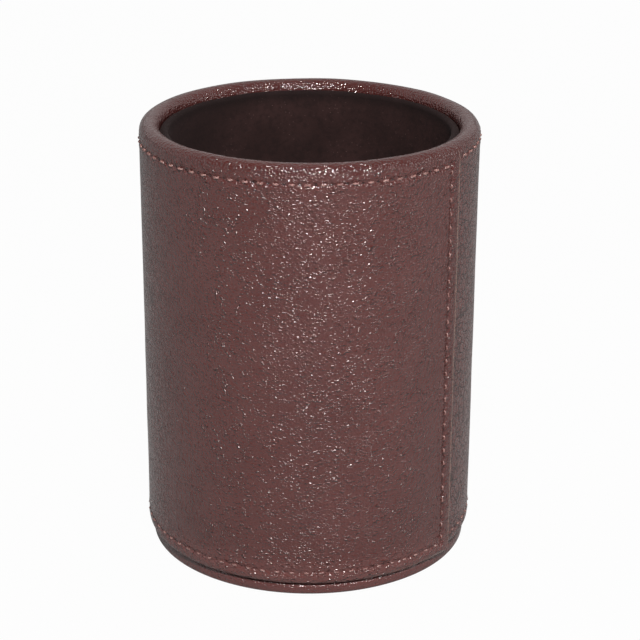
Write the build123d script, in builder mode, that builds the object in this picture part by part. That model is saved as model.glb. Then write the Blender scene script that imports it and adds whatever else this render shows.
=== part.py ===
import os
from math import cos, degrees, radians, sin

from build123d import *

# A round pencil cup. A board tube is wrapped in one sheet of leather, which rolls over the rim
# and turns under the foot, and whose two ends lap in an upright stitched seam. A suede sleeve
# lines the inside, and a leather-covered disc closes the foot.
# Millimetres, +Z up. The origin is the middle of the underside and the front is -Y.
# A bearing is an angle round the cup from the front, positive towards +X.

# Overall
outer_diameter = 76.0
cup_height = 100.0

# Sheets and boards, by thickness, and the bevels on their edges
leather = 1.1
base_leather = 0.75
lining_suede_thickness = 0.6
floor_suede_thickness = 0.6
floor_suede_edge = 0.4
tube_wall = 2.3
tube_edge = 0.7
tube_corner = 0.3
tube_floor_thickness = 2.0
lining_card_wall = 0.8
floor_card_thickness = 1.0
base_board_thickness = 1.35

# The wrap: how far it turns in at the rim and under at the foot
rim_turn_in = 12.0
rim_skive = 0.5
hem_turn_under = 6.0

# The lap seam
seam_bearing = 52.5
seam_margin = 2.9
lap_width = 10.0
lap_lead = 0.6
lap_rise = 0.6
glue_gap = 0.12
skived_end = 0.3
skived_end_gap = 0.5

# Stitching
row_below_rim = 4.1
row_above_hem = 3.15
row_pitch = 3.35
row_end_margin = 0.3
row_drift = 0.9
drift_from = 150.0
drift_to = 320.0
seam_pitch = 3.07
stitch_length = 2.3
stitch_width = 0.8
stitch_thickness = 0.3
stitch_taper = 30.0
pocket_depth = 0.38
pocket_clearance = 0.1

# The lining and the floor inside it
lining_drop = 2.1
lining_fold = 8.0
floor_clearance = 0.15
floor_turn_under = 5.0
tube_floor_clearance = 0.1

# The base disc
base_inset = 1.1
base_board_edge = 0.5
base_foot_edge = 0.7
base_turn_under = 6.9
base_pad_clearance = 0.2

# Radii and heights that follow
wrap_radius = outer_diameter / 2
tube_outer = wrap_radius - leather
tube_inner = tube_outer - tube_wall
lip_inner = tube_inner - leather
rim_round = (wrap_radius - lip_inner) / 2
rim_middle = (wrap_radius + lip_inner) / 2
rim_spring = cup_height - rim_round
tube_top = cup_height - leather
base_height = base_board_thickness + 2 * base_leather
tube_bottom = base_height + leather
hem_bend = tube_corner + leather
hem_spring = base_height + hem_bend
tube_floor_top = tube_bottom + tube_floor_thickness
base_radius = wrap_radius - base_inset


def towards(bearing):
    """The level unit vector that points to a bearing."""
    return Vector(sin(radians(bearing)), -cos(radians(bearing)), 0)


def along(bearing):
    """The level unit vector along the cup's face, the way bearings grow."""
    return Vector(cos(radians(bearing)), sin(radians(bearing)), 0)


def arc_angle(length):
    """The angle of a length measured round the wrap's face."""
    return degrees(length / wrap_radius)


# The flap's face leaves the wrap's own circle at lap_start and follows a larger one, so that
# it stands lap_rise higher at the flap's edge.
flap_edge = seam_bearing + arc_angle(seam_margin)
lap_end = flap_edge - arc_angle(lap_width)
lap_start = lap_end - arc_angle(lap_lead)
edge_radius = wrap_radius + lap_rise
axis_shift = (edge_radius**2 - wrap_radius**2) / (
    2 * (wrap_radius - edge_radius * cos(radians(flap_edge - lap_start)))
)
flap_centre = towards(lap_start) * -axis_shift
flap_radius = wrap_radius + axis_shift
flap_edge_point = towards(flap_edge) * edge_radius
flap_turn = towards(lap_start).get_angle(flap_edge_point - flap_centre)
flap_axis = Axis(flap_centre, (0, 0, 1))


def face_plane(bearing, height, upright=False):
    """A plane on the leather's face, its x axis level or, for the seam, up the cup."""
    if lap_start < bearing < flap_edge:
        # Where the ray at this bearing meets the flap's larger circle
        reach = flap_centre.dot(towards(bearing))
        reach += (flap_radius**2 - axis_shift**2 + reach**2) ** 0.5
        spot = towards(bearing) * reach
        outward = (spot - flap_centre).normalized()
    else:
        spot = towards(bearing) * wrap_radius
        outward = towards(bearing)
    lengthwise = Vector(0, 0, 1) if upright else Vector(-outward.Y, outward.X, 0)
    return Plane(origin=spot + Vector(0, 0, height), x_dir=lengthwise, z_dir=outward)


def section_plane(bearing):
    """The upright plane through the cup's axis, its x axis towards a bearing."""
    return Plane(origin=(0, 0, 0), x_dir=towards(bearing), z_dir=-along(bearing))


# Stitch places. Each row starts half a stitch left of the seam and goes left round the cup to
# the flap's edge. The sheet is wrapped a little out of square, so the rows climb by row_drift
# between two angles round the back.
row_turn = 360 - arc_angle(seam_margin + stitch_length / 2 + row_end_margin)
row_count = round(row_turn / arc_angle(row_pitch) + 0.5)
row_step = row_turn / (row_count - 0.5)


def row_planes(height):
    """The stitch planes of one row round the cup."""
    planes = []
    for count in range(row_count):
        turned = (count + 0.5) * row_step
        share = (turned - drift_from) / (drift_to - drift_from)
        climb = row_drift * min(max(share, 0), 1)
        bearing = seam_bearing - turned
        planes.append(face_plane(bearing, height + climb))
    return planes


rim_row_height = cup_height - row_below_rim
hem_row_height = base_height + row_above_hem
seam_count = round((rim_row_height - hem_row_height) / seam_pitch)
seam_step = (rim_row_height - hem_row_height) / seam_count
seam_heights = [hem_row_height + (count + 0.5) * seam_step for count in range(seam_count)]
rim_planes = row_planes(rim_row_height)
hem_planes = row_planes(hem_row_height)
seam_planes = [face_plane(seam_bearing, height, upright=True) for height in seam_heights]

# The board tube, its rim bevelled inside and out to carry the roll of the leather
with BuildPart() as core_tube:
    with BuildSketch(Plane.XZ):
        with BuildLine():
            Polyline(
                (tube_inner, tube_bottom),
                (tube_outer - tube_corner, tube_bottom),
                (tube_outer, tube_bottom + tube_corner),
                (tube_outer, tube_top - tube_edge),
                (tube_outer - tube_edge, tube_top),
                (tube_inner + tube_edge, tube_top),
                (tube_inner, tube_top - tube_edge),
                close=True,
            )
        make_face()
    revolve(axis=Axis.Z)
core_tube.part.label = "core_tube"

# The board disc that closes the tube's lower end
with BuildPart() as tube_floor:
    with BuildSketch(Plane.XY.offset(tube_bottom)):
        Circle(tube_inner - tube_floor_clearance)
    extrude(amount=tube_floor_thickness)
tube_floor.part.label = "tube_floor"

# The leather wrap
with BuildPart() as outer_wrap:
    # The sheet from under the foot, up the wall, over the rim and down inside it
    with BuildSketch(Plane.XZ):
        with BuildLine():
            foot_line = Line(
                (tube_outer - hem_turn_under, base_height), (wrap_radius - hem_bend, base_height)
            )
            foot_bend = TangentArc(foot_line @ 1, (wrap_radius, hem_spring), tangent=foot_line % 1)
            wall_line = Line(foot_bend @ 1, (wrap_radius, rim_spring))
            rim_roll = ThreePointArc(wall_line @ 1, (rim_middle, cup_height), (lip_inner, rim_spring))
            lip_line = Line(rim_roll @ 1, (lip_inner, cup_height - rim_turn_in))
            # The back follows the tube
            Polyline(
                lip_line @ 1,
                (tube_inner, cup_height - rim_turn_in - rim_skive),
                (tube_inner, tube_top - tube_edge),
                (tube_inner + tube_edge, tube_top),
                (tube_outer - tube_edge, tube_top),
                (tube_outer, tube_top - tube_edge),
                (tube_outer, tube_bottom + tube_corner),
                (tube_outer - tube_corner, tube_bottom),
                (tube_outer - hem_turn_under, tube_bottom),
                foot_line @ 0,
            )
        make_face()
    revolve(axis=Axis.Z)

    # The flap's raised ply, from the rim's crest to the foot. Its back starts a little outside
    # the tube and swings outwards with its face.
    flap_ply = leather - skived_end
    flap_foot_in = wrap_radius - hem_bend - leather
    with BuildSketch(section_plane(lap_start)):
        with BuildLine():
            flap_foot = Line((flap_foot_in, base_height), (wrap_radius - hem_bend, base_height))
            flap_bend = TangentArc(flap_foot @ 1, (wrap_radius, hem_spring), tangent=flap_foot % 1)
            flap_wall = Line(flap_bend @ 1, (wrap_radius, rim_spring))
            flap_roll = TangentArc(flap_wall @ 1, (rim_middle, cup_height), tangent=flap_wall % 1)
            flap_crest = Line(flap_roll @ 1, (rim_middle, cup_height - flap_ply))
            crest_back = TangentArc(
                flap_crest @ 1, (wrap_radius - flap_ply, rim_spring), tangent=(1, 0)
            )
            ply_wall = Line(crest_back @ 1, (wrap_radius - flap_ply, hem_spring))
            ply_bend = TangentArc(
                ply_wall @ 1, (wrap_radius - hem_bend, base_height + flap_ply), tangent=ply_wall % 1
            )
            ply_foot = Line(ply_bend @ 1, (flap_foot_in, base_height + flap_ply))
            Line(ply_foot @ 1, flap_foot @ 0)
        make_face()
    revolve(axis=flap_axis, revolution_arc=flap_turn)

    # The glue line that parts the flap from the skived ply beneath it
    with BuildSketch(Plane.XY.offset(hem_spring)):
        with BuildLine():
            hidden_end = lap_end - arc_angle(skived_end_gap)
            ply_face = TangentArc(
                towards(lap_end) * (tube_outer + skived_end),
                towards(flap_edge) * wrap_radius,
                tangent=along(lap_end),
            )
            flap_back = TangentArc(
                towards(hidden_end) * (tube_outer + skived_end + glue_gap),
                towards(flap_edge) * (wrap_radius + glue_gap),
                tangent=along(hidden_end),
            )
            mouth = towards(flap_edge + arc_angle(glue_gap)) * (wrap_radius + glue_gap)
            Polyline(ply_face @ 1, mouth, flap_back @ 1)
            Polyline(
                flap_back @ 0,
                towards(hidden_end) * (tube_outer - glue_gap),
                towards(lap_end) * (tube_outer - glue_gap),
                ply_face @ 0,
            )
        make_face()
    extrude(amount=rim_spring - hem_spring, mode=Mode.SUBTRACT)

    # A pocket for each stitch, where the thread is pulled down into the leather
    with BuildSketch(*rim_planes, *hem_planes, *seam_planes):
        Rectangle(stitch_length + 2 * pocket_clearance, stitch_width + 2 * pocket_clearance)
    extrude(amount=-pocket_depth, mode=Mode.SUBTRACT)
outer_wrap.part.label = "outer_wrap"


def stitching(planes):
    """A row of thread stitches that lie on the floors of their pockets."""
    with BuildPart() as row:
        with BuildSketch(*[plane.offset(-pocket_depth) for plane in planes]):
            Rectangle(stitch_length, stitch_width)
        extrude(amount=stitch_thickness, taper=stitch_taper)
    return row


rim_stitching = stitching(rim_planes)
rim_stitching.part.label = "rim_stitching"
hem_stitching = stitching(hem_planes)
hem_stitching.part.label = "hem_stitching"
seam_stitching = stitching(seam_planes)
seam_stitching.part.label = "seam_stitching"

# The card sleeve that stiffens the lining. It stands on the tube's floor, inside the leather's lip.
card_outer = lip_inner - lining_suede_thickness
card_inner = card_outer - lining_card_wall
card_middle = (card_outer + card_inner) / 2
lining_inner = card_inner - lining_suede_thickness
lining_top = cup_height - lining_drop
card_top = lining_top - lining_suede_thickness
fold_spring = lining_top - (lip_inner - lining_inner) / 2

with BuildPart() as lining_card:
    with BuildSketch(Plane.XY.offset(tube_floor_top)):
        Circle(card_outer)
        Circle(card_inner, mode=Mode.SUBTRACT)
    extrude(amount=card_top - tube_floor_top)
lining_card.part.label = "lining_card"

# The suede that covers the sleeve's inner face and folds over its top edge
with BuildPart() as lining_suede:
    with BuildSketch(Plane.XZ):
        with BuildLine():
            suede_face = Line((lining_inner, tube_floor_top), (lining_inner, fold_spring))
            suede_roll = ThreePointArc(
                suede_face @ 1, (card_middle, lining_top), (lip_inner, fold_spring)
            )
            Polyline(
                suede_roll @ 1,
                (lip_inner, lining_top - lining_fold),
                (card_outer, lining_top - lining_fold),
                (card_outer, card_top),
                (card_inner, card_top),
                (card_inner, tube_floor_top),
                suede_face @ 0,
            )
        make_face()
    revolve(axis=Axis.Z)
lining_suede.part.label = "lining_suede"

# The loose floor: a card disc with suede over its face and edge, turned under
floor_radius = lining_inner - floor_clearance
floor_card_radius = floor_radius - floor_suede_thickness
floor_card_bottom = tube_floor_top + floor_suede_thickness
floor_card_top = floor_card_bottom + floor_card_thickness
floor_top = floor_card_top + floor_suede_thickness

with BuildPart() as floor_card:
    with BuildSketch(Plane.XY.offset(floor_card_bottom)):
        Circle(floor_card_radius)
    extrude(amount=floor_card_thickness)
floor_card.part.label = "floor_card"

with BuildPart() as floor_suede:
    with BuildSketch(Plane.XY.offset(tube_floor_top)):
        Circle(floor_radius)
    extrude(amount=floor_top - tube_floor_top)
    chamfer(edges().sort_by(Axis.Z)[-1], length=floor_suede_edge)
    add(floor_card.part, mode=Mode.SUBTRACT)
    with BuildSketch(Plane.XY.offset(tube_floor_top)):
        Circle(floor_card_radius - floor_turn_under)
    extrude(amount=floor_suede_thickness, mode=Mode.SUBTRACT)
floor_suede.part.label = "floor_suede"

# The base disc: a board with leather over its top and edge, turned under
base_board_radius = base_radius - base_leather
base_turn_radius = base_radius - base_turn_under

with BuildPart() as base_board:
    with BuildSketch(Plane.XY.offset(base_leather)):
        Circle(base_board_radius)
    extrude(amount=base_board_thickness)
    chamfer(edges(), length=base_board_edge)
base_board.part.label = "base_board"

with BuildPart() as base_cover:
    with BuildSketch(Plane.XY):
        Circle(base_radius)
    extrude(amount=base_height)
    fillet(edges().sort_by(Axis.Z)[-1], radius=base_board_edge + base_leather)
    chamfer(edges().sort_by(Axis.Z)[0], length=base_foot_edge)
    add(base_board.part, mode=Mode.SUBTRACT)
    with BuildSketch(Plane.XY):
        Circle(base_turn_radius)
    extrude(amount=base_leather, mode=Mode.SUBTRACT)
base_cover.part.label = "base_cover"

# The suede pad let in flush inside the turned edge
with BuildPart() as base_pad:
    with BuildSketch(Plane.XY):
        Circle(base_turn_radius - base_pad_clearance)
    extrude(amount=base_leather)
base_pad.part.label = "base_pad"

os.makedirs("parts", exist_ok=True)
export_step(core_tube.part, "parts/core_tube.step")
export_step(tube_floor.part, "parts/tube_floor.step")
export_step(outer_wrap.part, "parts/outer_wrap.step")
export_step(rim_stitching.part, "parts/rim_stitching.step")
export_step(hem_stitching.part, "parts/hem_stitching.step")
export_step(seam_stitching.part, "parts/seam_stitching.step")
export_step(lining_card.part, "parts/lining_card.step")
export_step(lining_suede.part, "parts/lining_suede.step")
export_step(floor_card.part, "parts/floor_card.step")
export_step(floor_suede.part, "parts/floor_suede.step")
export_step(base_board.part, "parts/base_board.step")
export_step(base_cover.part, "parts/base_cover.step")
export_step(base_pad.part, "parts/base_pad.step")
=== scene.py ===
import random
from math import cos, exp, pi, radians, sin

import bmesh
import bpy
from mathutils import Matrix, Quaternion, Vector, noise


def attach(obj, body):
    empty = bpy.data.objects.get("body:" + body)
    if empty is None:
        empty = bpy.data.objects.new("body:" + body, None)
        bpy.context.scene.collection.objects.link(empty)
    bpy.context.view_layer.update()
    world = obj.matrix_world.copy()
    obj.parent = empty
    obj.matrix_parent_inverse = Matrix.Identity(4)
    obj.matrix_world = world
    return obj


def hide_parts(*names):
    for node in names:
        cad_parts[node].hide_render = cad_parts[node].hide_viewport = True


# A round pen cup in brown grained leather. Lengths in the dictionaries are millimetres, but
# metres for the lamps and the floor, and angles are degrees. The front of the cup is -Y.
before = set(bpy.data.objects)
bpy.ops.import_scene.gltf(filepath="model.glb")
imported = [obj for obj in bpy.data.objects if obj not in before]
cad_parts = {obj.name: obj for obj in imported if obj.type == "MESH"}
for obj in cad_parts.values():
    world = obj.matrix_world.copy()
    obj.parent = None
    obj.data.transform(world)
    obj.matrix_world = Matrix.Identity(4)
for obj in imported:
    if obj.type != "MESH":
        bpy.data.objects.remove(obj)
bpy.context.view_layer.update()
mm = 0.001
print("frame loaded:", len(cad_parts), "nodes")


# Shader building

class Wire:
    # One output of a node. Sums of wires and numbers add Math nodes.
    def __init__(self, finish, socket):
        self.finish = finish
        self.socket = socket

    def maths(self, operation, *values):
        return self.finish.add("Math", {"operation": operation}, dict(enumerate(values)))

    def __add__(self, other):
        return self.maths("ADD", self, other)

    def __radd__(self, other):
        return self.maths("ADD", other, self)

    def __sub__(self, other):
        return self.maths("SUBTRACT", self, other)

    def __rsub__(self, other):
        return self.maths("SUBTRACT", other, self)

    def __mul__(self, other):
        return self.maths("MULTIPLY", self, other)

    def __rmul__(self, other):
        return self.maths("MULTIPLY", other, self)

    def __pow__(self, other):
        return self.maths("POWER", self, other)

    def __abs__(self):
        return self.maths("ABSOLUTE", self)

    def most(self, other):
        return self.maths("MAXIMUM", self, other)

    def ease(self, low, high):
        # 0 below low, 1 above high, smooth between
        return self.finish.add("MapRange", {"interpolation_type": "SMOOTHSTEP"},
                               {"Value": self, "From Min": low, "From Max": high})


class Wiring:
    # A node tree and the calls that add to it
    def __init__(self, tree):
        self.tree = tree

    def add(self, kind, settings=None, values=None, out=0):
        node = self.tree.nodes.new("ShaderNode" + kind)
        for key, value in (settings or {}).items():
            setattr(node, key, value)
        for key, value in (values or {}).items():
            if isinstance(value, Wire):
                self.tree.links.new(value.socket, node.inputs[key])
            else:
                node.inputs[key].default_value = value
        return Wire(self, node.outputs[out])

    def ray(self, *kinds):
        # 1 for rays of any of these kinds, else 0
        found = [self.add("LightPath", out="Is " + kind + " Ray") for kind in kinds]
        return found[0] if len(found) == 1 else found[0].most(found[1])


class Finish(Wiring):
    # A material and the few calls that wire it
    def __init__(self, name, **fixed):
        self.material = bpy.data.materials.new(name)
        self.material.use_nodes = True
        Wiring.__init__(self, self.material.node_tree)
        self.shader = self.tree.nodes["Principled BSDF"]
        for socket, value in fixed.items():
            self.shader.inputs[socket.replace("_", " ")].default_value = value

    def plug(self, **wires):
        for socket, wire in wires.items():
            self.tree.links.new(wire.socket, self.shader.inputs[socket.replace("_", " ")])

    def places(self):
        # Object coordinates in millimetres
        spot = self.add("TexCoord", out="Object")
        return self.stretched(spot, (1 / mm, 1 / mm, 1 / mm))

    def sheetPlaces(self):
        # The flat sheet's own coordinates in millimetres
        spot = self.add("UVMap", {"uv_map": "sheet"})
        return self.stretched(spot, (sheetSpan, sheetSpan, sheetSpan))

    def stretched(self, spot, scales):
        return self.add("VectorMath", {"operation": "MULTIPLY"}, {0: spot, 1: scales})

    def shifted(self, spot, size, width):
        # The place, wandering by up to width with a noise of the given size
        wander = self.add("TexNoise", {}, {"Vector": spot, "Scale": 1 / size, "Detail": 1.5},
                          "Color")
        wander = self.add("VectorMath", {"operation": "SUBTRACT"}, {0: wander, 1: (0.5, 0.5, 0.5)})
        wander = self.add("VectorMath", {"operation": "SCALE"}, {0: wander, "Scale": 2 * width})
        return self.add("VectorMath", {"operation": "ADD"}, {0: spot, 1: wander})

    def cloud(self, spot, size, detail=2.0, rough=0.5):
        return self.add("TexNoise", {}, {"Vector": spot, "Scale": 1 / size, "Detail": detail,
                                         "Roughness": rough})

    def cells(self, spot, size, feature="F1", random=0.8):
        return self.add("TexVoronoi", {"feature": feature},
                        {"Vector": spot, "Scale": 1 / size, "Randomness": random})

    def turnedBy(self, spot, angle):
        return self.add("Mapping", {}, {"Vector": spot, "Rotation": (0, 0, radians(angle))})

    def part(self, spot, axis):
        return self.add("SeparateXYZ", {}, {"Vector": spot}, axis)

    def mixed(self, factor, first, second):
        return self.add("Mix", {"data_type": "RGBA"}, {0: factor, 6: first, 7: second}, 2)

    def raised(self, height, depth):
        # depth is the height, in millimetres, that a change of 1 stands for
        return self.add("Bump", {}, {"Strength": 1.0, "Distance": depth * mm, "Height": height})


def painted(red, green, blue):
    # A colour picked on screen, 0 to 255, as the linear one that nodes take
    def linear(value):
        value /= 255
        return value / 12.92 if value < 0.04045 else ((value + 0.055) / 1.055) ** 2.4
    return (linear(red), linear(green), linear(blue), 1.0)


# Mesh helpers

def newPiece(name, bm, materials, nodes):
    mesh = bpy.data.meshes.new(name)
    bm.to_mesh(mesh)
    bm.free()
    piece = bpy.data.objects.new(name, mesh)
    bpy.context.scene.collection.objects.link(piece)
    for material in materials:
        mesh.materials.append(material)
    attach(piece, "root")
    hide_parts(*nodes)
    print("made", name, "with", len(mesh.polygons), "faces")


def turned(outline, steps, closed):
    # A lathe form from its outline of (radius, height) pairs
    bm = bmesh.new()
    verts = [bm.verts.new((radius * mm, 0, height * mm)) for radius, height in outline]
    edges = [bm.edges.new(pair) for pair in zip(verts, verts[1:])]
    if closed:
        edges.append(bm.edges.new((verts[-1], verts[0])))
    bmesh.ops.spin(bm, geom=verts + edges, cent=(0, 0, 0), axis=(0, 0, 1), dvec=(0, 0, 0),
                   angle=2 * pi, steps=steps, use_merge=True, use_normal_flip=False,
                   use_duplicate=False)
    bmesh.ops.remove_doubles(bm, verts=bm.verts, dist=0.001 * mm)
    bmesh.ops.recalc_face_normals(bm, faces=bm.faces)
    return bm


def smoothed(bm):
    for face in bm.faces:
        face.smooth = True
    return bm


def ringEdges(bm, radius, height):
    slack = 0.01 * mm

    def onRing(vert):
        return (abs(vert.co.xy.length - radius * mm) < slack
                and abs(vert.co.z - height * mm) < slack)
    return [edge for edge in bm.edges if onRing(edge.verts[0]) and onRing(edge.verts[1])]


def roundRing(bm, radius, height, width, segments):
    bmesh.ops.bevel(bm, geom=ringEdges(bm, radius, height), offset=width * mm,
                    offset_type="OFFSET", segments=segments, profile=0.5, affect="EDGES",
                    material=-1)


# The leather sheet that wraps the cup. Along the sheet runs an angle, from 0 at the flap's cut
# edge, leftwards round the cup, to past a full turn at the end that lies under the flap. Up the
# sheet runs a length, from 0 where the hem's bend meets the wall.

wrap = {
    "radius": 38.0,
    "height": 100.0,
    "foot": 2.85,          # level of the underside of the hem
    "leather": 1.1,
    "bend": 1.4,           # outside radius where the hem turns under
    "roll": 2.25,          # outside radius of the rim
    "turnUnder": 4.2,      # flat lengths under the foot and inside the rim
    "turnIn": 7.0,
    "flapEdge": 56.87,     # bearing of the cut edge, from the front towards +X
    "lap": 15.08,          # angle that lies under the flap
    "lift": 0.6,           # height of the flap's edge over the wall, which is gone at liftAngle
    "liftAngle": 15.98,
    "sink": 0.8,           # how far the lower ply's end is skived down
    "gap": 0.1,            # glue line between the two plies
    "columns": 236,        # columns of faces round the cup from the seam's row
    "edgeWave": 0.14,      # angle by which the cut edge strays
    "cornerRound": 1.5,    # height of the flap's rounded corner by the hem
    "cornerBack": 1.7,     # angle that the corner is drawn back by
    "cutRound": 0.22,      # worn corner of the cut edge
    "swell": 0.08,         # height of the slow unevenness
    "swellSize": 11.0,
    "drawn": 0.035,        # height of the short folds that the tight rim row draws
}
rows = {
    "rim": 91.65,          # heights of the two rows up the sheet
    "hem": 1.75,
    "seam": 4.37,          # angle of the seam's row along the sheet
    "step": 5.0506,        # angle between holes round the cup
    "count": 70,
    "seamStep": 3.1,       # height between the seam's holes
    "seamCount": 29,
    "drift": 0.9,          # the sheet climbs by this much between these two angles
    "driftFrom": 154.4,
    "driftTo": 324.4,
    "reach": 2.6,          # how far from a row its stitches are felt
    # dark is how much painted shade a hole gets
    "hole": {"depth": 0.36, "long": 0.5, "wide": 0.3, "dark": 0.75},
    "slit": {"depth": 0.5, "long": 0.75, "wide": 0.33, "dark": 1.0},   # the seam's
    "groove": 0.1,         # depth of the trough along a row
    "grooveWide": 0.55,
    "pucker": 0.1,         # height of the banks on both sides of it
    "puckerAt": 1.15,
    "puckerWide": 0.5,
}
wearAndHighlight = {
    "cut": 0.6,            # how light the cut edge is made, worn and with a painted highlight
    "cutFrom": 0.15,       # in from the edge, from full to none
    "cutTo": 0.6,
    "cutRim": 0.75,        # share of it that is missing over the rim
    "turnAt": -0.95,       # height up the sheet where the hem's turn is lightened
    "turnWide": 0.3,
    "turn": 0.15,          # how light, all round and by the seam
    "turnSeam": 1.25,
}
sheetEnd = 360 + wrap["lap"]
sheetSpan = 260.0          # millimetres that the sheet's UV map covers
sheetLow = 8.0             # how far below the wall's start the map begins
degree = pi / 180 * wrap["radius"]        # millimetres round the cup in one degree
spring = wrap["foot"] + wrap["bend"]
rimSpring = wrap["height"] - wrap["roll"]
bendLength = pi / 2 * wrap["bend"]
rollLength = pi * wrap["roll"]


def smooth(value, low, high):
    share = min(max((value - low) / (high - low), 0.0), 1.0)
    return share * share * (3 - 2 * share)


def climb(angle):
    share = (angle - rows["driftFrom"]) / (rows["driftTo"] - rows["driftFrom"])
    return rows["drift"] * min(max(share, 0.0), 1.0)


def crossSection(up, risen):
    # Radius, height and the outward slope of the sheet's face, for a length up the sheet
    foot = wrap["foot"] + risen
    wall = rimSpring - spring - risen
    middle = wrap["radius"] - wrap["roll"]
    if up < -bendLength:
        return wrap["radius"] - wrap["bend"] + up + bendLength, foot, 0.0, -1.0
    if up < 0:
        turn = -up / wrap["bend"]
        return (wrap["radius"] - wrap["bend"] + wrap["bend"] * cos(turn),
                foot + wrap["bend"] - wrap["bend"] * sin(turn), cos(turn), -sin(turn))
    if up < wall:
        return wrap["radius"], spring + risen + up, 1.0, 0.0
    turn = min((up - wall) / wrap["roll"], pi)
    inside = max(up - wall - rollLength, 0.0)
    return (middle + wrap["roll"] * cos(turn), rimSpring + wrap["roll"] * sin(turn) - inside,
            cos(turn), sin(turn))


def rolled(angle, up, out):
    # The sheet's flat coordinates, and a height out of its face, to the place on the cup
    risen = climb(angle)
    radius, height, slopeOut, slopeUp = crossSection(up, risen)
    crest = rimSpring - spring - risen + rollLength / 2
    fade = 1 - smooth(up, crest - 4.5, crest - 0.5)      # the flap lies flat over the rim
    if angle < wrap["liftAngle"]:
        out += wrap["lift"] * (1 - angle / wrap["liftAngle"]) ** 2 * fade
    if angle > 360:
        out -= wrap["sink"] * ((angle - 360) / wrap["lap"]) ** 1.5
    bearing = radians(wrap["flapEdge"] - angle)
    radius += slopeOut * out
    height += slopeUp * out
    return Vector((radius * sin(bearing), -radius * cos(bearing), height)) * mm


def thickness(angle):
    # The sheet is skived where it laps
    if angle < wrap["liftAngle"]:
        share = angle / wrap["liftAngle"]
        under = wrap["sink"] * min(angle / wrap["lap"], 1.0) ** 1.5
        return wrap["lift"] * (1 - share) ** 2 + under - wrap["gap"]
    if angle > 360:
        return wrap["leather"] - wrap["sink"] * ((angle - 360) / wrap["lap"]) ** 1.5
    return wrap["leather"]


def pressed(along, across, pitch, cut):
    # How far stitches pull the leather in, at a length along their row from a hole and across it,
    # and the painted shade in the hole
    beat = along - pitch * round(along / pitch)
    hole = exp(-(beat / cut["long"]) ** 2 - (across / cut["wide"]) ** 2)
    groove = exp(-(across / rows["grooveWide"]) ** 2)
    bank = exp(-((abs(across) - rows["puckerAt"]) / rows["puckerWide"]) ** 2)
    bank *= 0.55 + 0.45 * cos(2 * pi * along / pitch)      # highest beside a hole
    pull = cut["depth"] * hole + rows["groove"] * groove - rows["pucker"] * bank
    return pull, hole * cut["dark"]


def stitchPull(angle, up):
    # The pull of all three rows and the painted shade in their holes. The long rows start at the
    # seam
    pull, hole = 0.0, 0.0
    lastHole = rows["seam"] + (rows["count"] + 0.3) * rows["step"]
    for row in (rows["rim"], rows["hem"]):
        if abs(up - row) < rows["reach"] and angle < lastHole:
            along = (angle - rows["seam"]) * degree
            near = smooth(along, -1.6, 0.0)
            amount, holeShade = pressed(along, up - row, rows["step"] * degree, rows["hole"])
            pull += near * amount
            hole = max(hole, near * holeShade)
    across = (angle - rows["seam"]) * degree
    if abs(across) < rows["reach"] and rows["hem"] - 1.5 < up < rows["rim"] + 1.5:
        amount, holeShade = pressed(up - rows["hem"], across, rows["seamStep"], rows["slit"])
        pull += amount
        hole = max(hole, holeShade)
    return pull, hole


def edgeWearAndHighlight(angle, up):
    # Where the cut edge and the hem's turn are lighter: worn, and with a painted highlight
    cut = wearAndHighlight["cut"] * (1 - smooth(angle * degree, wearAndHighlight["cutFrom"], wearAndHighlight["cutTo"]))
    cut *= 1 - wearAndHighlight["cutRim"] * smooth(up, rows["rim"] - 1, rows["rim"] + 3)
    turn = exp(-((up - wearAndHighlight["turnAt"]) / wearAndHighlight["turnWide"]) ** 2)
    turn *= wearAndHighlight["turn"] + wearAndHighlight["turnSeam"] * (1 - smooth(angle, 8, 40))
    return max(cut, turn)


def swelling(angle, up):
    # The slow unevenness of hand-laid leather, and the short folds below the rim row
    spot = rolled(angle, up, 0) / mm
    slow = noise.noise(spot / wrap["swellSize"]) * wrap["swell"]
    fold = noise.noise(Vector((angle * degree / 1.1 + up * 0.5, up / 3.2, 7.0)))
    near = exp(-((up - rows["rim"] + 2.2) / 2.6) ** 2)
    return slow + wrap["drawn"] * near * fold


def spaced(*zones):
    # Stations along a line from its zones: (start, end, pieces)
    stations = [zones[0][0]]
    for start, end, pieces in zones:
        stations += [start + (end - start) * (step + 1) / pieces for step in range(pieces)]
    return stations


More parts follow.
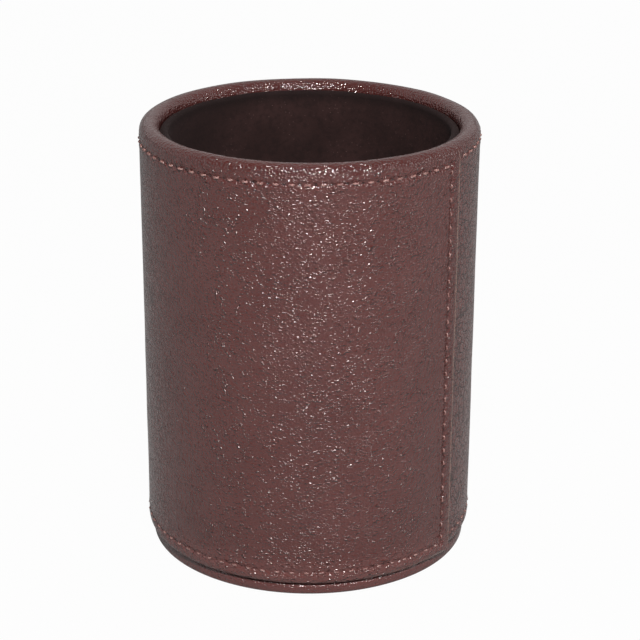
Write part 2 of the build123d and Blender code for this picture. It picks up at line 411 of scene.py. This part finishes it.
def buildWrap():
    # The bands of finer faces for the three rows, and the lip where the roll ends inside
    hemHigh = 3.6
    rimLow, rimHigh = rows["rim"] - 1.9, rows["rim"] + 1.8
    seamReach = 2.4
    seamLow, seamHigh = rows["seam"] - seamReach, rows["seam"] + seamReach
    lip = rows["rim"] + 9.4
    slack = 0.05
    upStations = spaced(
        (-bendLength - wrap["turnUnder"], -bendLength, 3),
        (-bendLength, 0.0, 6),
        (0.0, hemHigh, 12),
        (hemHigh, rimLow, 33),
        (rimLow, rimHigh, 12),
        (rimHigh, lip, 18),
        (lip, lip + wrap["turnIn"], 3),
    )
    turnStations = spaced(
        (0.0, 0.5, 4),
        (0.5, seamLow, 3),
        (seamLow, seamHigh, 11),
        (seamHigh, 360.0, wrap["columns"]),
        (360.0, sheetEnd, 9),
    )
    bm = bmesh.new()
    across = len(turnStations) - 1
    upward = len(upStations) - 1
    bmesh.ops.create_grid(bm, x_segments=across, y_segments=upward, size=1)
    for vert in bm.verts:
        column = round((vert.co.x + 1) / 2 * across)
        row = round((vert.co.y + 1) / 2 * upward)
        vert.co = (turnStations[column], upStations[row], 0)

    # Thickness first, while the sheet lies flat, then finer faces where the stitches pull
    bmesh.ops.recalc_face_normals(bm, faces=bm.faces)
    bmesh.ops.solidify(bm, geom=bm.faces[:], thickness=-1.0)
    if max(vert.co.z for vert in bm.verts) > 0.5:
        bmesh.ops.translate(bm, verts=bm.verts, vec=(0, 0, -1))

    def inBand(edge):
        low, high = sorted(vert.co.y for vert in edge.verts)
        level = (low + high) / 2
        topSide = min(vert.co.z for vert in edge.verts) > -0.5
        inRow = -slack < level < hemHigh + slack or rimLow - slack < level < rimHigh + slack
        return topSide and inRow and high - low < 1e-4 and edge.calc_length() > 0.8
    bmesh.ops.subdivide_edges(bm, edges=[edge for edge in bm.edges if inBand(edge)], cuts=3,
                              use_grid_fill=True)

    def inSeam(edge):
        level = (edge.verts[0].co.y + edge.verts[1].co.y) / 2
        along = abs(edge.verts[0].co.x - edge.verts[1].co.x)
        topSide = min(vert.co.z for vert in edge.verts) > -0.5
        apart = max(abs(vert.co.x - rows["seam"]) for vert in edge.verts)
        inRow = apart < seamReach + slack and hemHigh < level < rimLow
        return topSide and inRow and along < 1e-4
    bmesh.ops.subdivide_edges(bm, edges=[edge for edge in bm.edges if inSeam(edge)], cuts=8,
                              use_grid_fill=True)

    sheetMap = bm.loops.layers.uv.new("sheet")
    # Per point: the holes' painted shade, the light edges that are worn and carry a painted
    # highlight, and where the wrinkles are
    hole = bm.verts.layers.float.new("hole")
    edge = bm.verts.layers.float.new("edge")
    wrinkled = bm.verts.layers.float.new("wrinkled")
    for face in bm.faces:
        face.smooth = True
        for loop in face.loops:
            loop[sheetMap].uv = (loop.vert.co.x * degree / sheetSpan,
                                 (loop.vert.co.y + sheetLow) / sheetSpan)

    # The four cut sides, with sharp edges
    for face in bm.faces:
        levels = [vert.co.z for vert in face.verts]
        if max(levels) - min(levels) > 0.5:
            face.material_index = 1
            for side in face.edges:
                pair = side.link_faces
                if len(pair) == 2 and pair[0].normal.dot(pair[1].normal) < 0.5:
                    side.smooth = False

    # Then each point goes from the flat sheet to its place on the cup
    for vert in bm.verts:
        angle, up, level = vert.co
        out = thickness(angle) * level
        soft = 1 - smooth(angle, 0, 2.5)
        angleAt = angle + soft * wrap["edgeWave"] * noise.noise(Vector((up * 0.16, 3.3, 0)))
        corner = max(0.0, 1.0 - (up + bendLength * 0.6) / wrap["cornerRound"])
        angleAt += soft * min(corner, 1.2) ** 2 * wrap["cornerBack"]
        if level > -0.5:
            amount, holeShade = stitchPull(angle, up)
            fromCut = min(angle * degree / wrap["cutRound"], 1.0)
            out += swelling(angle, up) - amount
            out -= wrap["cutRound"] * (1 - (1 - (1 - fromCut) ** 2) ** 0.5)
            vert[hole] = holeShade
            vert[edge] = edgeWearAndHighlight(angle, up)
            # Slanting wrinkles half way up, left of the seam
            vert[wrinkled] = (exp(-((angle - 17) / 7) ** 2)
                              * smooth(up, 25, 45) * (1 - smooth(up, 60, 80)))
        vert.co = rolled(angleAt, up, out)
    bmesh.ops.recalc_face_normals(bm, faces=bm.faces)
    return bm


# Thread: two plies twisted together, in one short run from hole to hole

thread = {
    "ply": 0.18,           # radius of one ply
    "twist": 0.14,         # radius that the plies wind on
    "flat": 0.8,           # how flat the pair is pulled
    "turns": 1.15,         # half turns of the twist from the middle to an end
    "dive": 1.0,           # how far its ends go down in the holes
    "sides": 5,
    "rings": 7,
}
# For each row, how much shorter a stitch is than the pitch at each end, how high its middle
# stands over the leather, and how thick it is pulled
stitches = {
    "rim": {"short": 0.8, "hump": 0.08, "thick": 1.05},
    "hem": {"short": 0.95, "hump": 0.02, "thick": 0.85},
    "seam": {"short": 0.84, "hump": 0.03, "thick": 0.72},
}


def plyPair():
    # Two straight plies with their rings, side by side, one unit long each way, for bending
    bm = bmesh.new()
    for place in (-1, 1):
        made = bmesh.ops.create_cone(bm, cap_ends=True, segments=thread["sides"],
                                     radius1=thread["ply"], radius2=thread["ply"], depth=2)
        bmesh.ops.translate(bm, verts=made["verts"], vec=(place, 0, 0))
    long = [edge for edge in bm.edges if edge.calc_length() > 1.5]
    bmesh.ops.subdivide_edges(bm, edges=long, cuts=thread["rings"] - 1)
    mesh = bpy.data.meshes.new("plies")
    bm.to_mesh(mesh)
    bm.free()
    return mesh


plies = plyPair()


def addStitch(bm, middle, along, outward, pitch, kind, chance):
    half = pitch / 2 - stitches[kind]["short"]
    thick = stitches[kind]["thick"]
    side = outward.cross(along)
    phase = chance.uniform(0, 2 * pi)
    hump = stitches[kind]["hump"] + chance.uniform(-0.05, 0.05)
    lean = chance.uniform(-0.07, 0.07)
    first = len(bm.verts)
    bm.from_mesh(plies)
    bm.verts.ensure_lookup_table()
    for vert in bm.verts[first:]:
        place = 1 if vert.co.x > 0 else -1
        share = vert.co.z
        wind = phase + (pi if place > 0 else 0) + share * thread["turns"] * pi
        x = share * half
        y = thick * (vert.co.x - place + thread["twist"] * cos(wind)) + lean * x
        z = thick * (vert.co.y + thread["twist"] * thread["flat"] * sin(wind))
        z += hump - (hump + thread["dive"]) * abs(share) ** 4
        vert.co = middle + (along * x + side * y + outward * z) * mm


def surfaceFrame(angle, up, upright):
    # The middle of a stitch on the sheet's face, its direction and the way out of the face
    step = 0.05
    middle = rolled(angle, up, 0)
    rightward = (rolled(angle - step, up, 0) - middle).normalized()
    upward = (rolled(angle, up + step, 0) - middle).normalized()
    outward = rightward.cross(upward).normalized()
    return middle, upward if upright else rightward, outward


def buildRow(kind, seed):
    bm = bmesh.new()
    chance = random.Random(seed)
    for number in range(rows["count"]):
        angle = rows["seam"] + (number + 0.5) * rows["step"]
        middle, along, outward = surfaceFrame(angle, rows[kind], False)
        addStitch(bm, middle, along, outward, rows["step"] * degree, kind, chance)
    return bm


def buildSeam(seed):
    bm = bmesh.new()
    chance = random.Random(seed)
    for number in range(rows["seamCount"]):
        up = rows["hem"] + (number + 0.5) * rows["seamStep"]
        middle, along, outward = surfaceFrame(rows["seam"], up, True)
        addStitch(bm, middle, along, outward, rows["seamStep"], "seam", chance)
    return bm


# Finishes

leatherLook = {
    "colour": painted(79, 37, 34),
    "paintedShade": painted(40, 22, 21),       # painted shade in the creases and veins, and over the rim
    # painted shade in the stitch holes and in the gap under the hem
    "hole": painted(22, 11, 10),
    "worn": painted(91, 48, 45),       # in slow patches
    "lighterTone": painted(101, 59, 56),    # painted light down by the hem, for the floor's bounced light and reflection, and lighter where the hide is loose
    "edge": painted(178, 158, 142),    # worn light, with a painted highlight on top
    "raw": painted(120, 98, 88),       # fibres of the cut sides
    "roughness": 0.16,
    "specular": 0.92,
    "pebble": 0.58,        # size of the pebbles of the grain
    "pebbleDepth": 0.43,   # depth of a dome as wide as that
    "crease": 0.008,       # depth between pebbles
    "grit": 0.42,          # size and depth of finer pebbles on these
    "gritDepth": 0.025,
    "pore": 0.006,         # heights of the pores, the slow folds and the slanting wrinkles
    "fold": 0.08,
    "wrinkle": 0.3,
    "vein": 1.9,           # size and depth of the veins where the hide is loose
    "veinDepth": 0.13,
    "looseRight": (206, 224),          # along the sheet, where that begins at the cup's right
    "looseLeft": 88,                   # and its middle at the left, with how far it fades out
    "looseWide": (6, 22),
    "rimGrit": 0.5,        # shares of the grit and relief left where leather goes round an edge
    "rimRelief": 0.3,
    "rimPebble": 0.12,     # depth of the even grain there
}


def leatherFinish(name, look, onSheet):
    finish = Finish(name, Specular_IOR_Level=look["specular"])
    flat = finish.sheetPlaces() if onSheet else finish.places()
    spot = finish.shifted(flat, 2.4, 0.4)
    wide = finish.stretched(spot, (0.8, 1.15, 1.0))
    domes = finish.cells(wide, look["pebble"]) ** 2
    creases = 1 - finish.cells(wide, look["pebble"], "DISTANCE_TO_EDGE").ease(0.0, 0.09)
    grit = finish.cells(wide, look["grit"]) ** 2
    pores = finish.cloud(flat, 0.2, 2.0, 0.6)
    folds = finish.cloud(finish.stretched(spot, (0.5, 1.6, 1.0)), 2.2, 2.0, 0.5)
    deeper = 0.6 + 0.6 * finish.cloud(flat, 4.0, 1.0).ease(0.3, 0.7)
    groups = 0.46 + 0.62 * finish.cloud(flat, 1.1, 1.0).ease(0.4, 0.6)
    relief = domes * deeper * groups * look["pebbleDepth"] + creases * look["crease"]
    fine = pores * look["pore"]
    patches = finish.cloud(flat, 14.0, 2.0)
    shine = finish.cloud(flat, 3.0, 3.0)
    colour = finish.mixed(patches.ease(0.3, 0.7) * 0.4, look["colour"], look["worn"])
    # Painted shade in the creases between pebbles
    colour = finish.mixed(creases * 0.12, colour, look["paintedShade"])
    rough = look["roughness"] + (shine - 0.5) * 0.1 + creases * 0.05
    if onSheet:
        # The sheet's own marks: painted shade in the holes, light edges that are worn and carry a
        # painted highlight, the hem painted lighter, and painted shade on its underside
        along = finish.part(flat, "X")
        up = finish.part(flat, "Y")
        rim = sheetLow + rows["rim"]
        hole = finish.add("Attribute", {"attribute_name": "hole"}, out="Fac")
        edge = finish.add("Attribute", {"attribute_name": "edge"}, out="Fac")
        wrinkled = finish.add("Attribute", {"attribute_name": "wrinkled"}, out="Fac")
        # Painted shade in the stitch holes
        colour = finish.mixed(hole.ease(0.2, 0.75) * 0.95, colour, look["hole"])
        worn = finish.cloud(flat, 1.6, 3.0).ease(0.25, 0.6)
        # The light edges: worn, and a painted highlight
        colour = finish.mixed(edge * (0.35 + 0.45 * worn), colour, look["edge"])
        # Painted light: the hem band is lighter, for the light and reflection of the floor
        hemLight = 1 - up.ease(sheetLow + 1.0, sheetLow + 6.0)
        # Painted shade on the hem's underside, in the gap above the foot
        hemGapShade = 1 - up.ease(sheetLow - 1.55, sheetLow - 1.25)
        colour = finish.mixed(hemLight * 0.6, colour, look["lighterTone"])
        colour = finish.mixed(hemGapShade * 0.95, colour, look["hole"])
        slant = finish.stretched(finish.turnedBy(spot, 45), (1.25, 0.16, 1.0))
        fine = fine + finish.cloud(slant, 1.0, 1.5) * wrinkled * look["wrinkle"]
        # The hide is looser at both sides of the cup, with wider veins that take painted shade, and
        # the colour there is lighter
        left = (1 - abs(along - look["looseLeft"]).ease(*look["looseWide"])) * 0.6
        loose = along.ease(*look["looseRight"]).most(left) * (1 - up.ease(rim - 3.0, rim + 2.0))
        veins = 1 - finish.cells(finish.shifted(flat, 3.0, 0.6), look["vein"],
                                 "DISTANCE_TO_EDGE", 1.0).ease(0.0, 0.1)
        colour = finish.mixed(loose * 0.5, colour, look["lighterTone"])
        # Painted shade in the veins
        colour = finish.mixed(veins * loose * 0.9, colour, look["paintedShade"])
        rough = rough + veins * loose * 0.25
        relief = relief + veins * loose * look["veinDepth"]
        # It is taut from the rim row upwards, and its colour there takes painted shade
        taut = up.ease(rim + 1.0, rim + 3.0)
        relief = relief * (1 - taut * (1 - look["rimRelief"])) + taut * domes * look["rimPebble"]
        grit = grit * (1 + taut * (look["rimGrit"] - 1))
        folds = folds * (1 - taut * 0.7)
        # Painted shade over the rim
        colour = finish.mixed(taut * 0.3, colour, look["paintedShade"])
        rough = rough - taut * 0.05
    else:
        relief = relief * look["rimRelief"] + domes * look["rimPebble"]
        grit = grit * look["rimGrit"]
    height = folds * look["fold"] + fine - relief - grit * look["gritDepth"]
    finish.plug(Base_Color=colour, Roughness=rough, Normal=finish.raised(height, 1.0))
    return finish.material


def rawEdgeFinish(name, look):
    finish = Finish(name, Specular_IOR_Level=0.3)
    spot = finish.places()
    fibres = finish.cloud(finish.stretched(spot, (1, 1, 0.4)), 0.3, 3.0, 0.6)
    colour = finish.mixed(fibres.ease(0.3, 0.7), look["raw"], look["colour"])
    finish.plug(Base_Color=colour, Roughness=0.65 + fibres * 0.2, Normal=finish.raised(fibres, 0.1))
    return finish.material


threadLook = {
    # Lighter than the leather: the thread's own colour with a painted highlight
    "colour": painted(164, 124, 117),
    "dark": painted(84, 48, 45),
    "roughness": 0.24,
}


def threadFinish(name, look):
    finish = Finish(name, Specular_IOR_Level=1.0)
    spot = finish.places()
    fibres = finish.cloud(spot, 0.3, 3.0, 0.6)
    colour = finish.mixed(fibres.ease(0.35, 0.65) * 0.85, look["colour"], look["dark"])
    finish.plug(Base_Color=colour, Roughness=look["roughness"] + fibres * 0.14,
                Normal=finish.raised(fibres, 0.1))
    return finish.material


suedeLook = {
    "colour": painted(38, 24, 23),
    "brushed": painted(53, 35, 34),
    # dark is also the painted shade on the lining's left side
    "dark": painted(24, 15, 15),
    "speck": painted(100, 78, 76),
    "pressed": painted(20, 12, 12),    # painted shade on the fold at the top edge
    "relief": 0.22,
}


def suedeFinish(name, look):
    finish = Finish(name, Specular_IOR_Level=0.2, Sheen_Weight=0.05, Sheen_Roughness=0.5,
                    Sheen_Tint=painted(120, 92, 90))
    spot = finish.places()
    nap = finish.cloud(spot, 0.35, 4.0, 0.7)
    tufts = finish.cloud(finish.shifted(spot, 2.0, 0.5), 1.4, 3.0, 0.6)
    strokes = finish.cloud(spot, 11.0, 2.0, 0.5)
    colour = finish.mixed(strokes.ease(0.35, 0.65) * 0.6, look["colour"], look["brushed"])
    colour = finish.mixed(tufts.ease(0.4, 0.75) * 0.55, colour, look["dark"])
    # Light specks: painted glints of single fibres
    specks = 1 - finish.cells(spot, 0.9).ease(0.05, 0.15)
    colour = finish.mixed(specks * strokes.ease(0.35, 0.65) * 0.9, colour, look["speck"])
    high = finish.part(spot, "Z")
    leftShade = 1 - finish.part(spot, "X").ease(-31, -12)
    # Painted shade on the left side of the lining
    colour = finish.mixed(leftShade * high.ease(20, 40) * 0.6, colour, look["dark"])
    # Painted shade on the fold at the top edge
    foldShade = high.ease(94.5, 97.4)
    colour = finish.mixed(foldShade * 0.75, colour, look["pressed"])
    finish.plug(Base_Color=colour, Roughness=0.86 + nap * 0.12,
                Normal=finish.raised(nap * 0.6 + tufts * 0.6, look["relief"]))
    return finish.material


boardLook = {
    "tube": (painted(150, 138, 118), painted(122, 110, 92)),
    "card": (painted(172, 164, 150), painted(140, 132, 118)),
    "speck": painted(84, 74, 62),
}


def boardFinish(name, pair):
    finish = Finish(name, Specular_IOR_Level=0.3)
    spot = finish.places()
    fibres = finish.cloud(finish.stretched(spot, (1, 1, 0.25)), 0.5, 4.0, 0.6)
    specks = finish.cells(spot, 1.6)
    colour = finish.mixed(fibres.ease(0.3, 0.7), *pair)
    colour = finish.mixed((1 - specks.ease(0.05, 0.16)) * 0.5, colour, boardLook["speck"])
    finish.plug(Base_Color=colour, Roughness=0.8 + fibres * 0.15,
                Normal=finish.raised(fibres, 0.08))
    return finish.material


# A dark material for the painted shade in the gap under the hem
def gapShadeFinish(name):
    finish = Finish(name, Specular_IOR_Level=0.2)
    spot = finish.places()
    lumps = finish.cloud(spot, 0.8, 3.0, 0.6)
    colour = finish.mixed(lumps.ease(0.3, 0.7), painted(22, 14, 13), painted(34, 22, 21))
    finish.plug(Base_Color=colour, Roughness=0.6 + lumps * 0.25, Normal=finish.raised(lumps, 0.15))
    return finish.material


# The foot is painted lighter than the wrap, for the light that the floor bounces onto it
footLook = {**leatherLook, "colour": painted(88, 48, 46), "worn": painted(97, 56, 53)}
leather = leatherFinish("brownLeather", leatherLook, True)
leatherPlain = leatherFinish("brownLeatherFoot", footLook, False)
rawEdge = rawEdgeFinish("cutEdge", leatherLook)
footGapShade = gapShadeFinish("paintedGapShade")
threadBrown = threadFinish("waxedThread", threadLook)
suede = suedeFinish("darkSuede", suedeLook)
board = boardFinish("greyBoard", boardLook["tube"])
card = boardFinish("paleCard", boardLook["card"])
print("finishes ready")

# The pieces

newPiece("leatherWrap", buildWrap(), [leather, rawEdge], ["outer_wrap"])


def finishThread(bm):
    bmesh.ops.recalc_face_normals(bm, faces=bm.faces)
    return smoothed(bm)


newPiece("rimThread", finishThread(buildRow("rim", seed=3)), [threadBrown],
         ["rim_stitching"])
newPiece("hemThread", finishThread(buildRow("hem", seed=5)), [threadBrown],
         ["hem_stitching"])
newPiece("seamThread", finishThread(buildSeam(seed=8)), [threadBrown],
         ["seam_stitching"])

lining = {
    "inside": 31.5,
    "outside": 33.42,      # just clear of the leather's lip
    "floor": 5.95,
    "top": 97.9,
    "suede": 0.6,
    "card": 0.8,
    "fold": 8.0,           # turned down behind the card
    "round": 0.93,         # of the fold's two edges
    "wave": 0.14,          # how far the fold strays, and over what length
    "waveSize": 9.0,
}


def buildLining():
    inner = lining["inside"] + lining["suede"]
    outer = inner + lining["card"]
    low = lining["top"] - lining["fold"]
    under = lining["top"] - lining["suede"]
    outline = [(lining["inside"], lining["floor"]), (lining["inside"], 60.0),
               (lining["inside"], 90.0), (lining["inside"], lining["top"]),
               (lining["outside"], lining["top"]), (lining["outside"], low), (outer, low),
               (outer, under), (inner, under), (inner, lining["floor"])]
    bm = turned(outline, steps=192, closed=True)
    for radius in (lining["inside"], lining["outside"]):
        roundRing(bm, radius, lining["top"], lining["round"], 6)
    for vert in bm.verts:
        spot = vert.co / mm
        near = smooth(spot.z, 91, 97)
        turn = Vector((spot.x, spot.y, 0)) / lining["waveSize"]
        vert.co.z += near * lining["wave"] * noise.noise(turn) * mm
        push = near * 0.5 * lining["wave"] * noise.noise(turn * 1.7 + Vector((0, 0, 4)))
        vert.co.xy = vert.co.xy * (1 - max(push, 0) / 30)
    return smoothed(bm)


newPiece("suedeLining", buildLining(), [suede], ["lining_suede"])

floorPad = {
    "radius": 31.35,
    "low": 5.95,
    "suede": 0.6,
    "card": 1.0,
    "turnUnder": 5.0,
    "topRound": 0.55,
    "lowRound": 0.3,
}


def buildFloor():
    top = floorPad["low"] + 2 * floorPad["suede"] + floorPad["card"]
    inner = floorPad["radius"] - floorPad["suede"]
    edge = inner - floorPad["turnUnder"]
    low = floorPad["low"]
    outline = [(0, top), (12, top), (24, top), (floorPad["radius"], top),
               (floorPad["radius"], low), (edge, low), (edge, low + floorPad["suede"]),
               (inner, low + floorPad["suede"]), (inner, top - floorPad["suede"]),
               (0, top - floorPad["suede"])]
    bm = turned(outline, steps=128, closed=False)
    roundRing(bm, floorPad["radius"], top, floorPad["topRound"], 4)
    roundRing(bm, floorPad["radius"], low, floorPad["lowRound"], 3)
    return smoothed(bm)


newPiece("suedeFloor", buildFloor(), [suede], ["floor_suede"])

foot = {
    "radius": 36.9,
    "height": 2.85,
    "leather": 0.75,
    "turnUnder": 6.9,
    "middle": 33.6,        # radius of a ring of points between the edge and the rim
    "topRound": 1.25,
    "footRound": 0.65,
    "innerRound": 0.3,
    "pleat": 0.09,         # height of the pleats underneath, and how close they stand
    "pleats": 17.0,
}


def buildFoot():
    top = foot["height"]
    inner = foot["radius"] - foot["leather"]
    edge = foot["radius"] - foot["turnUnder"]
    middle = foot["middle"]
    outline = [(0, top), (16, top), (30, top), (foot["radius"], top), (foot["radius"], 0),
               (middle, 0), (edge, 0), (edge, foot["leather"]), (middle, foot["leather"]),
               (inner, foot["leather"]), (inner, top - foot["leather"]), (0, top - foot["leather"])]
    bm = turned(outline, steps=256, closed=False)
    roundRing(bm, foot["radius"], top, foot["topRound"], 7)
    roundRing(bm, foot["radius"], 0, foot["footRound"], 4)
    roundRing(bm, inner, foot["leather"], foot["innerRound"], 2)
    roundRing(bm, inner, top - foot["leather"], foot["innerRound"], 2)
    for vert in bm.verts:
        spot = vert.co / mm
        reach = spot.xy.length
        if spot.z < 0.2 and reach > edge - 0.1:
            # Small pleats where the edge is turned under, gone at the ring that it stands on
            turn = Vector((spot.x, spot.y, 0)).normalized() * foot["pleats"]
            inside = 1 - smooth(reach, 33.0, 35.5)
            vert.co.z += foot["pleat"] * inside * (0.5 + noise.noise(turn)) * mm
            vert.co.z = max(vert.co.z, 0.0)
    for face in bm.faces:
        # The foot's top, seen only as a dark line under the hem, takes a painted shade
        if min(vert.co.xy.length for vert in face.verts) < (foot["radius"] - 0.5) * mm:
            if face.calc_center_median().z > (top - 0.4) * mm:
                face.material_index = 1
    return smoothed(bm)


newPiece("leatherFoot", buildFoot(), [leatherPlain, footGapShade], ["base_cover"])

underPad = {"radius": 29.8, "height": 0.75, "round": 0.22}


def buildUnderPad():
    outline = [(0, 0), (15, 0), (underPad["radius"], 0), (underPad["radius"], underPad["height"]),
               (0, underPad["height"])]
    bm = turned(outline, steps=160, closed=False)
    roundRing(bm, underPad["radius"], 0, underPad["round"], 3)
    return smoothed(bm)


newPiece("suedeUnderPad", buildUnderPad(), [suede], ["base_pad"])

for name, material in (("core_tube", board), ("tube_floor", board), ("base_board", board),
                       ("lining_card", card), ("floor_card", card)):
    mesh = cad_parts[name].data
    mesh.materials.clear()
    mesh.materials.append(material)
print("pieces ready")

# Camera, light and floor

view = {
    "eye": (0.0, -422.2, 214.4),
    "aim": (0.0, 0.0, 51.65),
    "lens": 109.8,
    "pan": 0.344,          # to the right of the aim, and a slight tilt
    "roll": 0.33,
}
eye = Vector(view["eye"]) * mm
aim = Vector(view["aim"]) * mm
camera = bpy.data.objects.new("camera", bpy.data.cameras.new("camera"))
bpy.context.scene.collection.objects.link(camera)
look = Quaternion((0, 0, 1), radians(-view["pan"])) @ (aim - eye)
camera.rotation_mode = "QUATERNION"
camera.rotation_quaternion = (look.to_track_quat("-Z", "Y")
                              @ Quaternion((0, 0, 1), radians(view["roll"])))
camera.location = eye
camera.data.lens = view["lens"]
bpy.context.scene.camera = camera

lampAim = Vector((0, 0, 0.05))
lamps = {
    "key": {"place": (0.08, -0.70, 0.71), "size": 0.13, "power": 12.2,
            "colour": (1.0, 0.955, 0.94), "mirrored": True},
    "left": {"place": (-0.70, -0.15, 0.30), "size": 0.5, "power": 0.62,
             "colour": (0.96, 0.98, 1.0), "mirrored": True},
    "right": {"place": (0.70, -0.15, 0.30), "size": 0.3, "power": 0.85,
              "colour": (1.0, 1.0, 1.0), "mirrored": True},
    # Two soft fills that the leather doesn't mirror
    "back": {"place": (0.15, 0.85, 0.35), "size": 0.7, "power": 4.0,
             "colour": (1.0, 1.0, 1.0), "mirrored": False},
    "above": {"place": (0.0, 0.05, 0.95), "size": 0.5, "power": 1.8,
              "colour": (1.0, 1.0, 1.0), "mirrored": False},
}
for name, lamp in lamps.items():
    light = bpy.data.lights.new(name, "AREA")
    light.size = lamp["size"]
    light.energy = lamp["power"]
    light.color = lamp["colour"]
    holder = bpy.data.objects.new(name, light)
    bpy.context.scene.collection.objects.link(holder)
    holder.location = lamp["place"]
    holder.rotation_mode = "QUATERNION"
    holder.rotation_quaternion = (lampAim - holder.location).to_track_quat("-Z", "Y")
    holder.visible_glossy = lamp["mirrored"]

# Behind the camera the studio is dim, which the leather mirrors. The camera itself sees white.
studio = {"near": 0.03, "far": 0.54, "from": -0.4, "diffuse": 0.3}
world = bpy.data.worlds.new("studio")
bpy.context.scene.world = world
world.use_nodes = True
air = Wiring(world.node_tree)
ahead = air.add("SeparateXYZ", {}, {"Vector": air.add("TexCoord", out="Generated")}, "Y")
seen = air.ray("Camera")
dim = studio["near"] + ahead.ease(studio["from"], 1.0) * (studio["far"] - studio["near"])
plain = seen.most(air.ray("Glossy", "Transmission"))
strength = seen.most(dim) * (studio["diffuse"] + plain * (1 - studio["diffuse"]))
backdrop = air.tree.nodes["Background"]
backdrop.inputs["Color"].default_value = (1.0, 1.0, 1.0, 1.0)
air.tree.links.new(strength.socket, backdrop.inputs["Strength"])

# The floor shows white to the camera, but for a trace of the cup's soft shadow
stand = {"reach": 6.0, "grey": 0.33, "mirrored": 0.1, "glow": 0.97}
ground = bmesh.new()
bmesh.ops.create_grid(ground, x_segments=1, y_segments=1, size=stand["reach"])
groundMesh = bpy.data.meshes.new("floor")
ground.to_mesh(groundMesh)
ground.free()
floor = bpy.data.objects.new("floor", groundMesh)
bpy.context.scene.collection.objects.link(floor)
paper = bpy.data.materials.new("whitePaper")
paper.use_nodes = True
sheet = Wiring(paper.node_tree)
sheet.tree.nodes.clear()
matt = sheet.add("BsdfDiffuse", {}, {"Color": (stand["grey"],) * 3 + (1,)})
glow = sheet.add("Emission", {}, {"Strength": 1.0})
mirrored = sheet.ray("Glossy", "Transmission") * stand["mirrored"]
share = sheet.ray("Camera").most(mirrored) * stand["glow"]
blend = sheet.add("MixShader", {}, {0: share, 1: matt, 2: glow})
output = sheet.tree.nodes.new("ShaderNodeOutputMaterial")
sheet.tree.links.new(blend.socket, output.inputs["Surface"])
groundMesh.materials.append(paper)

bpy.context.scene.view_settings.view_transform = "Standard"
print("camera and light ready")
